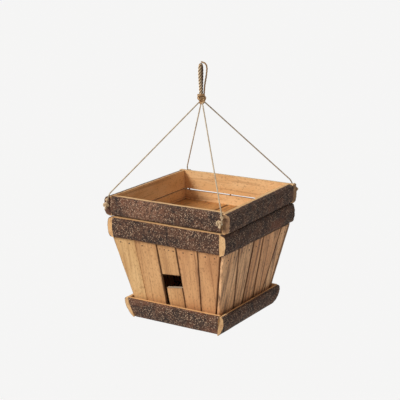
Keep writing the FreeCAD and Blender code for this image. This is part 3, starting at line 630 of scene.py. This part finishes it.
# Slat nails.
# Small round nail heads, dull and a little rusty, two at each end of a slat and four above the entry.
# They are driven until the head sits on the wood, so each stands a hair out of the slat.
NAIL_HEAD, NAIL_HEIGHT, NAIL_SINK = 1.9, 0.5, 0.05
NAIL_DROP, SIDE_NAIL_SHIFT, FOOT_NAIL_RISE = 6.5 - SLAT_REACH, 4, 6
PAIR, FOUR = (0.32, 0.74), (0.14, 0.38, 0.62, 0.86)


def rusty_steel():
    """Dull bare steel, browned in patches."""
    material, shader, start = new_finish("rusty_steel")
    place = start.node("TexCoord", out="Object")
    rust = place.noise(900).step(0.40, 0.62)
    tone = rust.blend((96, 82, 70), (88, 54, 34))
    tone.tree.links.new((1 - rust).socket, shader.inputs["Metallic"])
    fill(shader, tone, rust * 0.35 + 0.45)
    return material


steel = rusty_steel()
nail_places, nail_outward = [], []
for side in SIDE_AXES:
    bottom, top = wall_lines(side)
    shift = SIDE_NAIL_SHIFT if side in ("left", "right") else 0
    for number in range(1, 6):
        top_shares = FOUR if (side, number) == ("front", 3) else PAIR
        for rise, shares in ((SLAT_LENGTH - NAIL_DROP - shift, top_shares), (FOOT_NAIL_RISE - shift, PAIR)):
            lines = bottom + (top - bottom) * (rise / SLAT_LENGTH)
            left = lines[number - 1] + (SLAT_GAP / 2 if number > 1 else 0)
            right = lines[number] - (SLAT_GAP / 2 if number < 5 else 0)
            for share in shares:
                along = left + (right - left) * share
                on_face = on_wall(side, along, rise, NAIL_SINK)
                nail_places.append(on_face.tolist())
                nail_outward.append((on_wall(side, along, rise, -1.0) - on_face).tolist())

nail_mesh = bpy.data.meshes.new("nail_places")
nail_mesh.from_pydata(nail_places, [], [])
outward = nail_mesh.attributes.new("outward", "FLOAT_VECTOR", "POINT")
outward.data.foreach_set("vector", np.array(nail_outward, np.float32).ravel())
nail_object = linked("nail_places", nail_mesh)


def new_tree(name, inputs):
    """A node tree for geometry with named inputs, a call that adds geometry nodes to it, the sockets of its
    inputs, and its output node."""
    tree = bpy.data.node_groups.new(name, "GeometryNodeTree")
    tree.interface.new_socket("Geometry", in_out="INPUT", socket_type="NodeSocketGeometry")
    tree.interface.new_socket("Geometry", in_out="OUTPUT", socket_type="NodeSocketGeometry")
    for label, kind in inputs.items():
        tree.interface.new_socket(label, in_out="INPUT", socket_type="NodeSocket" + kind)

    def shape(kind, settings=None, links=None):
        return add(tree, "GeometryNode" + kind, settings, links)

    return tree, shape, tree.nodes.new("NodeGroupInput").outputs, tree.nodes.new("NodeGroupOutput")


def close_tree(tree, mesh, material, output):
    """Ends a tree: real mesh, shaded smooth, with its material."""
    real = add(tree, "GeometryNodeRealizeInstances", {}, {"Geometry": mesh})
    smooth = add(tree, "GeometryNodeSetShadeSmooth", {}, {"Geometry": real})
    coloured = add(tree, "GeometryNodeSetMaterial", {}, {"Geometry": smooth, "Material": material})
    tree.links.new(coloured.outputs["Geometry"], output.inputs[0])


def shaped_mesh(thing):
    """The mesh that an object's curve or modifiers make."""
    bpy.context.view_layer.update()
    shaped = thing.evaluated_get(bpy.context.evaluated_depsgraph_get())
    return bpy.data.meshes.new_from_object(shaped)


def grown(source, name, tree, values):
    """Runs a geometry tree on an object and returns what it makes as a plain piece."""
    modifier = source.modifiers.new("shape", "NODES")
    modifier.node_group = tree
    for item in tree.interface.items_tree:
        if item.item_type == "SOCKET" and item.in_out == "INPUT" and item.name in values:
            modifier[item.identifier] = values[item.name]
    mesh = shaped_mesh(source)
    mesh.name = name
    source.modifiers.remove(modifier)
    bpy.data.objects.remove(source)
    return linked(name, mesh)


nail_inputs = {"Head radius": "Float", "Head height": "Float", "Metal": "Material"}
nail_tree, shape, given, nail_out = new_tree("nail_heads", nail_inputs)
rim_size = {"Vertices": 12, "Radius": given["Head radius"], "Depth": given["Head height"]}
head_rim = shape("MeshCylinder", {"fill_type": "NGON"}, rim_size)
head_dome = shape("MeshUVSphere", {}, {"Segments": 12, "Rings": 6, "Radius": given["Head radius"]})
dome_shape = {"Geometry": head_dome, "Scale": (0.97, 0.97, 0.32), "Translation": (0, 0, 0.0002)}
dome_flat = shape("Transform", {}, dome_shape)
head = shape("JoinGeometry", {}, {0: head_rim})
nail_tree.links.new(dome_flat.outputs["Geometry"], head.inputs[0])
vector = {"data_type": "FLOAT_VECTOR"}
facing = shape("InputNamedAttribute", vector, {"Name": "outward"})
turned = add(nail_tree, "FunctionNodeAlignRotationToVector", {"axis": "Z"}, {"Vector": facing})
odd_size = {"Min": 0.82, "Max": 1.12, "Seed": 5}
size = add(nail_tree, "FunctionNodeRandomValue", {"data_type": "FLOAT"}, odd_size)
heads = {"Points": given["Geometry"], "Instance": head, "Rotation": turned}
heads["Scale"] = next(socket for socket in size.outputs if socket.enabled)
driven = shape("InstanceOnPoints", {}, heads)
close_tree(nail_tree, driven, given["Metal"], nail_out)
nail_values = {"Head radius": NAIL_HEAD / 2 * MM, "Head height": NAIL_HEIGHT * MM, "Metal": steel}
nail_heads = grown(nail_object, "slat_nail_heads", nail_tree, nail_values)
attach(nail_heads, "planter")
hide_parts("slat_nails")

# Pins and nails out of sight.
# Headless pins join the rails, the courses and the base; flush nails hold the planks and the plate.
# They keep their solids: only a course pin in the rim's gap and a few flush nail ends can be seen.
for node in ("rail_pins", "course_pins", "base_pins", "floor_nails", "tie_nails"):
    finish_node(node, steel)

# Tray floor.
# Three planks lie front to back on the battens, with open joints that let water through.
# They are the same sawn wood as the slats, browner from soil and wet.
PLANK_HALF, PLANK_LOW, PLANK_HIGH, PLANK_GAP, PLANK_PLAY, PLANK_SEED = 89.5, 121, 138, 1.6, 0.15, 300
PLANK_ROWS, PLANK_FACE, PLANK_CHAMFER = 70, 20, 0.7
PLANK_JOINTS = {"left": (0, 0.435), "middle": (0.435, 0.768), "right": (0.768, 1)}
plank_wood = slat_finish("plank_wood", (206, 149, 86), (174, 117, 62), (98, 58, 28))
for number, (place, (first, last)) in enumerate(PLANK_JOINTS.items()):
    seed = PLANK_SEED + SEED_STEP * number
    left = PLANK_HALF * (2 * first - 1) + (PLANK_GAP / 2 if number else PLANK_PLAY)
    right = PLANK_HALF * (2 * last - 1) - (PLANK_GAP / 2 if number < 2 else PLANK_PLAY)
    steps = np.linspace(-PLANK_HALF + PLANK_PLAY, PLANK_HALF - PLANK_PLAY, PLANK_ROWS)
    loop_across, loop_up = board_loop(PLANK_FACE, 0.012, PLANK_HIGH, PLANK_LOW, -PLANK_CHAMFER)
    across = np.repeat((left + (right - left) * loop_across)[None], PLANK_ROWS, 0)
    along = np.repeat(steps[:, None], 2 * PLANK_FACE, 1)
    up = np.tile(loop_up, (PLANK_ROWS, 1))
    worn = rough(np.stack([across, along * 0.2, up], -1), 8, seed)
    up = up + np.where(up > (PLANK_LOW + PLANK_HIGH) / 2, 0.2 * worn - 0.15, 0)
    rings = on_side("right", across, along, up)
    grain = np.stack([across * MM + seed, along * MM, up * MM], -1)
    # The planks' margins along their joints darken the same way, partly weathering, partly painted shade.
    from_side = np.minimum(loop_across, 1 - loop_across) * (right - left)
    edge = np.repeat(np.clip(1 - from_side / 4, 0, 1)[None], PLANK_ROWS, 0)
    plank = ring_piece(f"floor_plank_{place}_board", rings, {"grain": grain, "edge": edge}, plank_wood)
    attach(plank, "planter")
    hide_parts(f"floor_plank_{place}")

# Rim rails.
# Two courses of half-round log slabs, bark outside and sawn inside, with a narrow open gap between them.
# The lower side rails run through to the front; above, the back rail runs through behind the side rails.
RAIL_COURSES = {
    # course: foot, head, inner face, thickness at the sawn edges and at the belly, tuck at the foot
    "lower": (121 + SLAT_REACH, 151.5, 89.5, 7, 9.8, 0.4),
    "upper": (154.5, 182.5, 88.5, 9, 12.5, 1.2),
}
LOWER_REACH, UPPER_REACH = 96.9, 98
RAILS = {
    # course and side: its two ends, how far it is skewed outwards there, its ends' stain,
    # the share of its top edge that the bark covers, and the width of the bare strip under that edge
    ("lower", "right"): ((-99.9, LOWER_REACH), (0, -2.2), (0.24, 0.4), 1.1, 0.0),
    ("lower", "left"): ((-LOWER_REACH, LOWER_REACH), (0, -2.0), (0.4, 0.15), 0.85, 0.0),
    ("lower", "front"): ((-87.3, 89.3), (0.9, 0.9), (0.2, 0.2), 0.25, 0.8),
    ("lower", "back"): ((-89.3, 89.3), (0, 0), (0.2, 0.2), 0.25, 0.0),
    ("upper", "right"): ((-UPPER_REACH, 88.3), (4.2, -1.4), (0.78, 0.5), 0.55, 0.0),
    ("upper", "left"): ((-88.3, UPPER_REACH), (0, 0), (0.6, 1.1), 0.95, 0.0),
    ("upper", "front"): ((-88.3, 91.7), (0, 0), (0.5, 0.5), 0.55, 0.0),
    ("upper", "back"): ((-UPPER_REACH, UPPER_REACH), (0, 0), (0.8, 0.8), 0.55, 0.0),
}
HEAD_RAISE = {"front": 2.6, "right": 1.8, "left": 1.2, "back": 0}
RAIL_SHADES = {
    ("lower", "right"): ((0, DARK_LOG),),
    ("upper", "right"): ((0, DARK_LOG),),
    ("lower", "front"): ((3.4, 0.07), (4.6, 0.8), (6.0, 0.8), (7.2, 0.07)),
}
RAIL_RUBS = {("upper", "front"): ((-75, 0.0), (-55, 0.5), (-15, 0.5), (15, 0.0))}
RAIL_SQUARENESS = {("upper", "right"): 7}
RAIL_SEED, ROUND = 21, 3
for number, ((course, side), ((start, end), skew, stain, wrap, bare)) in enumerate(RAILS.items()):
    low, high, inner, edge_out, belly, tuck = RAIL_COURSES[course]
    power = RAIL_SQUARENESS.get((course, side), ROUND)

    def rail_bark(share, edge_out=edge_out, belly=belly, tuck=tuck, power=power):
        """How far a rail's bark stands out from its inner face, from foot to head."""
        share = np.asarray(share)
        crown = 1 - np.abs(2 * share - 1) ** power
        return edge_out - tuck * (1 - share) ** 3 + (belly - edge_out) * crown

    profile = (rail_bark, inner, 0.0)
    high += HEAD_RAISE[side] if course == "lower" else 0
    shades, rubs = (table.get((course, side), PLAIN) for table in (RAIL_SHADES, RAIL_RUBS))
    rail = log_slab(
        f"{course}_rail_{side}_log", side, low, high, profile, start, end, RAIL_SEED + number, wrap, stain,
        skew, bare=bare, shades=shades, rubs=rubs,
    )
    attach(rail, "planter")
    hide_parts(f"{course}_rail_{side}")

# Bridle cords.
# Four thin jute twines, laid from three yarns, run tight from the gathering knot over the rim's corners.
# Each ends in a hard knot tied on a small nail in the rim's outer face.
CORD, CORD_PITCH, STRANDS, STRAND_SHARE = 2.0, 6.5, 3, 0.236
RIM_TOP, STOPPER_LEVEL, EDGE_LIFT, KNOT_CLEAR, BEND_START = 182.5, 168.5, 0.75, 0.3, 6
KNOT_LEVEL, KNOT_RADIUS, KNOT_ASIDE, KNOT_RAISE = 310, 5.5, (0.8, 0.5), 1.6
FACE_ASIDE, FACE_UP, FACE_STEP = 0.25, 20, 13
STOPPER_SIZE, STOPPER_TALL, STOPPER_STRETCH, STOPPER_YARN, STOPPER_PITCH = 1.2, 1.5, 1.25, 2.9, 8
HITCH_PLACE, HITCH_SIZE, HITCH_TALL, HITCH_YARN = Vector((0.4, 0, 9.6)), 0.66, 1.6, 1.7
END_ROUTE, END_YARN = ((0, 0, -1.5), (0.8, 0.012, -4.2), (1.4, 0.014, -5.6)), 1.8
TIES = {
    # corner: where the cord goes over the rim's edge, the middle of its stopper knot,
    # and how far the knot has slipped aside, outwards and up
    "front_left": ((-93, -99.6), (-93, -102.3), (-1.4, 0, 1.5)),
    "front_right": ((93, -99.6), (95.5, -102.3), (-3.6, -0.6, 1.0)),
    "back_right": ((91.5, 99.1), (91.5, 105.3), (1.2, 0.4, 2.6)),
    "back_left": ((-91.5, 99.1), (-91.5, 105.3), (-1.0, 0.4, 0.5)),
}


def jute(name, pale, mid, dark, hollow_shade, shaded_side=None):
    """Dry twisted jute: straw coloured yarn with loose fibre specks, and painted shade in the grooves
    between strands.
    It may be darkened with painted shade on one side of the hanging axis."""
    material, shader, start = new_finish(name)
    place = start.node("TexCoord", out="Object")
    patches = place.noise(140).step(0.36, 0.66)
    fibre = place.noise(1900, 3.0, 0.65)
    tone = patches.blend(pale, mid)
    tone = (fibre.step(0.52, 0.72) * 0.6).blend(tone, dark)
    raised = start.trait("raised")
    # Painted shade: where the yarn faces in towards the cord's middle, between strands, it is darkened.
    tone = (raised.step(0.4, 0.95) * -hollow_shade + hollow_shade).blend(tone, dark)
    # Painted shade: points beyond the hanging axis on the given side are darkened, for the rope leg that
    # lies in shadow.
    if shaded_side:
        inputs = {"Vector": place, "Vector_001": shaded_side}
        across = start.node("VectorMath", {"operation": "DOT_PRODUCT"}, inputs, out="Value")
        tone = (across.step(-0.0005, 0.002) * 0.9).blend(tone, dark)
    fill(shader, tone, fibre * 0.1 + 0.86, fibre, 0.0003, 0.8)
    return material


twine_jute = jute("twine_jute", (224, 206, 178), (194, 174, 146), (134, 112, 88), 0.2)
knot_jute = jute("knot_jute", (234, 206, 168), (208, 178, 140), (142, 112, 80), 0.3)
rope_jute = jute("rope_jute", (224, 188, 142), (196, 152, 104), (112, 78, 46), 0.7)
cord_inputs = {"Strands": "Int", "Strand radius": "Float", "Lay radius": "Float", "Pitch": "Float"}
cord_inputs |= {"Step": "Float", "Sides": "Int", "Fibre": "Material"}
cord_tree, shape, given, cord_out = new_tree("laid_cord", cord_inputs)


def scalar(operation, *values):
    """A Math node in the cord's tree."""
    return add(cord_tree, "ShaderNodeMath", {"operation": operation}, dict(enumerate(values)))


def direction(operation, *values, **named):
    """A Vector Math node in the cord's tree."""
    return add(cord_tree, "ShaderNodeVectorMath", {"operation": operation}, dict(enumerate(values)) | named)


route = shape("MeshToCurve", {}, {"Mesh": given["Geometry"]})
even = shape("ResampleCurve", {"mode": "LENGTH"}, {"Curve": route, "Length": given["Step"]})
copies = {"Geometry": even, "Amount": given["Strands"]}
strands = shape("DuplicateElements", {"domain": "SPLINE"}, copies)
turns = scalar("DIVIDE", shape("SplineParameter").outputs["Length"], given["Pitch"])
phase = scalar("DIVIDE", strands.outputs["Duplicate Index"], given["Strands"])
angle = scalar("MULTIPLY", scalar("ADD", turns, phase), 2 * math.pi)
normal = shape("InputNormal")
sideways = direction("CROSS_PRODUCT", shape("InputTangent"), normal)
by_normal = direction("SCALE", normal, Scale=scalar("COSINE", angle))
by_side = direction("SCALE", sideways, Scale=scalar("SINE", angle))
outwards = direction("ADD", by_normal, by_side)
aside = direction("SCALE", outwards, Scale=given["Lay radius"])
marking = {"Geometry": strands, "Name": "outwards", "Value": outwards}
marked = shape("StoreNamedAttribute", vector, marking)
laid = shape("SetPosition", {}, {"Geometry": marked, "Offset": aside})
yarn_size = {"Resolution": given["Sides"], "Radius": given["Strand radius"]}
yarn = shape("CurvePrimitiveCircle", {}, yarn_size)
swept = shape("CurveToMesh", {}, {"Curve": laid, "Profile Curve": yarn, "Fill Caps": True})
# Raised is how far the yarn's surface faces away from the cord's middle; the fibre finish darkens low values
# as painted shade.
strand_side = shape("InputNamedAttribute", vector, {"Name": "outwards"})
facing_out = direction("DOT_PRODUCT", strand_side, normal)
raise_mark = {"Geometry": swept, "Name": "raised", "Value": facing_out.outputs["Value"]}
raised_mesh = shape("StoreNamedAttribute", {"data_type": "FLOAT"}, raise_mark)
close_tree(cord_tree, raised_mesh, given["Fibre"], cord_out)


def smooth_route(points):
    """Points along a smooth line that is guided by a route's own points."""
    curve = bpy.data.curves.new("route", "CURVE")
    curve.dimensions = "3D"
    spline = curve.splines.new("NURBS")
    spline.points.add(len(points) - 1)
    for target, point in zip(spline.points, points):
        target.co = (*point, 1)
    spline.order_u = 3
    spline.use_endpoint_u = True
    spline.resolution_u = 24
    holder = linked("route", curve)
    line = shaped_mesh(holder)
    path = [vertex.co.copy() for vertex in line.vertices]
    bpy.data.objects.remove(holder)
    bpy.data.meshes.remove(line)
    return path


def length_of(path):
    """The length along a path."""
    return sum((b - a).length for a, b in zip(path, path[1:]))


def laid_cord(name, path, diameter, pitch, fibre, closed=False, sides=8):
    """A twisted cord along a path, in metres."""
    count = len(path)
    edges = [(index, index + 1) for index in range(count - 1)]
    if closed:
        edges.append((count - 1, 0))
    line = bpy.data.meshes.new(name + "_line")
    line.from_pydata([tuple(point) for point in path], edges, [])
    values = {
        "Strands": STRANDS,
        "Strand radius": diameter * STRAND_SHARE * MM,
        "Lay radius": diameter * (0.5 - STRAND_SHARE) * MM,
        "Pitch": pitch * MM,
        "Step": diameter * 0.28 * MM,
        "Sides": sides,
        "Fibre": fibre,
    }
    return grown(linked(name + "_line", line), name, cord_tree, values)


def tied_knot(centre, size, axis, height, stretch=1.0):
    """The closed path of a tight overhand knot, facing along an axis and stretched upright, in metres."""
    facing = Vector(axis).to_track_quat("Z", "Y")
    path, steps = [], 72
    for step in range(steps):
        t = 2 * math.pi * step / steps
        upright = stretch * (math.cos(t) - 2 * math.cos(2 * t))
        ring = Vector((math.sin(t) + 2 * math.sin(2 * t), upright, -height * math.sin(3 * t)))
        path.append(Vector(centre) + facing @ (ring * size * MM))
    return path


def in_part(x, y, z):
    """A place in millimetres, z above the base, in the part's frame in metres."""
    return Vector((x * MM, y * MM, z * MM + BASE_LEVEL))


knot_centre = in_part(*KNOT_ASIDE, KNOT_LEVEL + KNOT_RAISE)
for number, (corner, (edge_place, stopper_place, slip)) in enumerate(TIES.items()):
    over_edge = in_part(*edge_place, RIM_TOP + EDGE_LIFT * CORD)
    stopper = in_part(*stopper_place, STOPPER_LEVEL)
    towards = (over_edge - knot_centre).normalized()
    leaves_knot = knot_centre + towards * (KNOT_RADIUS + KNOT_CLEAR) * MM
    before_edge = over_edge - towards * BEND_START * CORD * MM
    path = smooth_route([leaves_knot, before_edge, over_edge, stopper])
    twine = laid_cord(f"bridle_twine_{corner}", path, CORD, CORD_PITCH, twine_jute)
    facing = Vector((stopper_place[0] * FACE_ASIDE, stopper_place[1], FACE_UP - FACE_STEP * number))
    slipped = stopper + Vector(slip) * MM
    knot_path = tied_knot(slipped, STOPPER_SIZE, facing, STOPPER_TALL, STOPPER_STRETCH)
    knot_name = f"stopper_knot_{corner}"
    stopper_knot = laid_cord(knot_name, knot_path, STOPPER_YARN, STOPPER_PITCH, knot_jute, closed=True)
    hitch_path = tied_knot(stopper + HITCH_PLACE * MM, HITCH_SIZE, facing, HITCH_TALL)
    hitch = laid_cord(f"stopper_hitch_{corner}", hitch_path, HITCH_YARN, CORD_PITCH, knot_jute, closed=True)
    hand = 1 if number % 2 else -1
    tail_steps = [Vector((hand * aside, stopper_place[1] * out, drop)) for aside, out, drop in END_ROUTE]
    tail_path = smooth_route([slipped + step * MM for step in tail_steps])
    tail = laid_cord(f"stopper_tail_{corner}", tail_path, END_YARN, CORD_PITCH, knot_jute)
    for piece in (twine, stopper_knot, hitch, tail):
        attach(piece, "planter")
    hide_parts(f"bridle_cord_{corner}")
    length_of(path)

# Gathering knot and neck wrap.
# The four twines and the rope are tied in one lumpy overhand knot, as big as a fingertip.
# A few turns of twine are whipped tightly round the rope just above it.
KNOT_SIZE, KNOT_TALL, KNOT_FACING = 1.7, 1.5, (0.62, -0.62, 0.42)
KNOT_YARN, KNOT_PITCH, WRAP_YARN, WRAP_PITCH = 4.2, 11, 2.4, 7
WRAP_RADIUS, WRAP_TURNS, WRAP_LOW, WRAP_HIGH, WRAP_TILT, WRAP_STEPS = 4.3, 2.6, 6.3, 8.7, 0.9, 109
gather_path = tied_knot(knot_centre, KNOT_SIZE, KNOT_FACING, KNOT_TALL)
knot_yarn = (KNOT_YARN, KNOT_PITCH, rope_jute)
gather = laid_cord("gathering_knot_tied", gather_path, *knot_yarn, closed=True, sides=10)
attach(gather, "knot")
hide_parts("gathering_knot")
wrap_path = []
for step in range(WRAP_STEPS + 1):
    share = step / WRAP_STEPS
    turn = 2 * math.pi * WRAP_TURNS * share
    rise = WRAP_LOW + (WRAP_HIGH - WRAP_LOW) * share + WRAP_TILT * math.cos(turn + 0.6)
    wrap_path.append(in_part(WRAP_RADIUS * math.cos(turn), WRAP_RADIUS * math.sin(turn), KNOT_LEVEL + rise))
neck = laid_cord("neck_wrap_turns", wrap_path, WRAP_YARN, WRAP_PITCH, rope_jute)
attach(neck, "neck")
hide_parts("neck_wrap")

# Rope loop and its thin strand.
# A laid jute rope is doubled into a loop for the hook; both legs go down into the neck.
# One thin strand is carried up beside the rope and hitched over the top of the loop.
ROPE, ROPE_PITCH, TAIL, TAIL_PITCH = 4.5, 13.2, 2.4, 12.6
ROPE_HEADING = math.radians(-72)
ROPE_LEG = [(2.35, 6.9), (2.6, 17), (6.3, 33), (6.0, 50.25)]
TAIL_ROUTE = [(4.3, 7.9), (4.9, 20), (7.8, 34), (9.4, 48), (5.4, 53.6), (0.6, 54.0)]


def beside_axis(heading, out, rise):
    """A place out from the hanging axis and above the gathering knot."""
    return in_part(out * math.cos(heading), out * math.sin(heading), KNOT_LEVEL + rise)


rope_points = [beside_axis(ROPE_HEADING, out, rise) for out, rise in ROPE_LEG]
rope_points += [beside_axis(ROPE_HEADING, -out, rise) for out, rise in reversed(ROPE_LEG)]
rope_path = smooth_route(rope_points)
# The rope's rear leg, behind the hanging axis, gets painted shade for the shadow it hangs in.
rear_side = (-math.cos(ROPE_HEADING), -math.sin(ROPE_HEADING), 0)
hang_tones = ((250, 222, 184), (232, 196, 152), (72, 50, 30))
hang_jute = jute("hang_rope_jute", *hang_tones, 0.85, rear_side)
rope = laid_cord("hang_loop_rope", rope_path, ROPE, ROPE_PITCH, hang_jute, sides=12)
tail_points = [beside_axis(ROPE_HEADING + math.pi / 2, out, rise) for out, rise in TAIL_ROUTE]
strand_path = smooth_route(tail_points)
strand = laid_cord("loop_tail_strand", strand_path, TAIL, TAIL_PITCH, rope_jute)
hung = ((rope, "hang_loop", rope_path, ROPE), (strand, "loop_tail", strand_path, TAIL))
for piece, node, path, diameter in hung:
    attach(piece, "hanger")
    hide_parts(node)
    length_of(path)
    diameter * MM
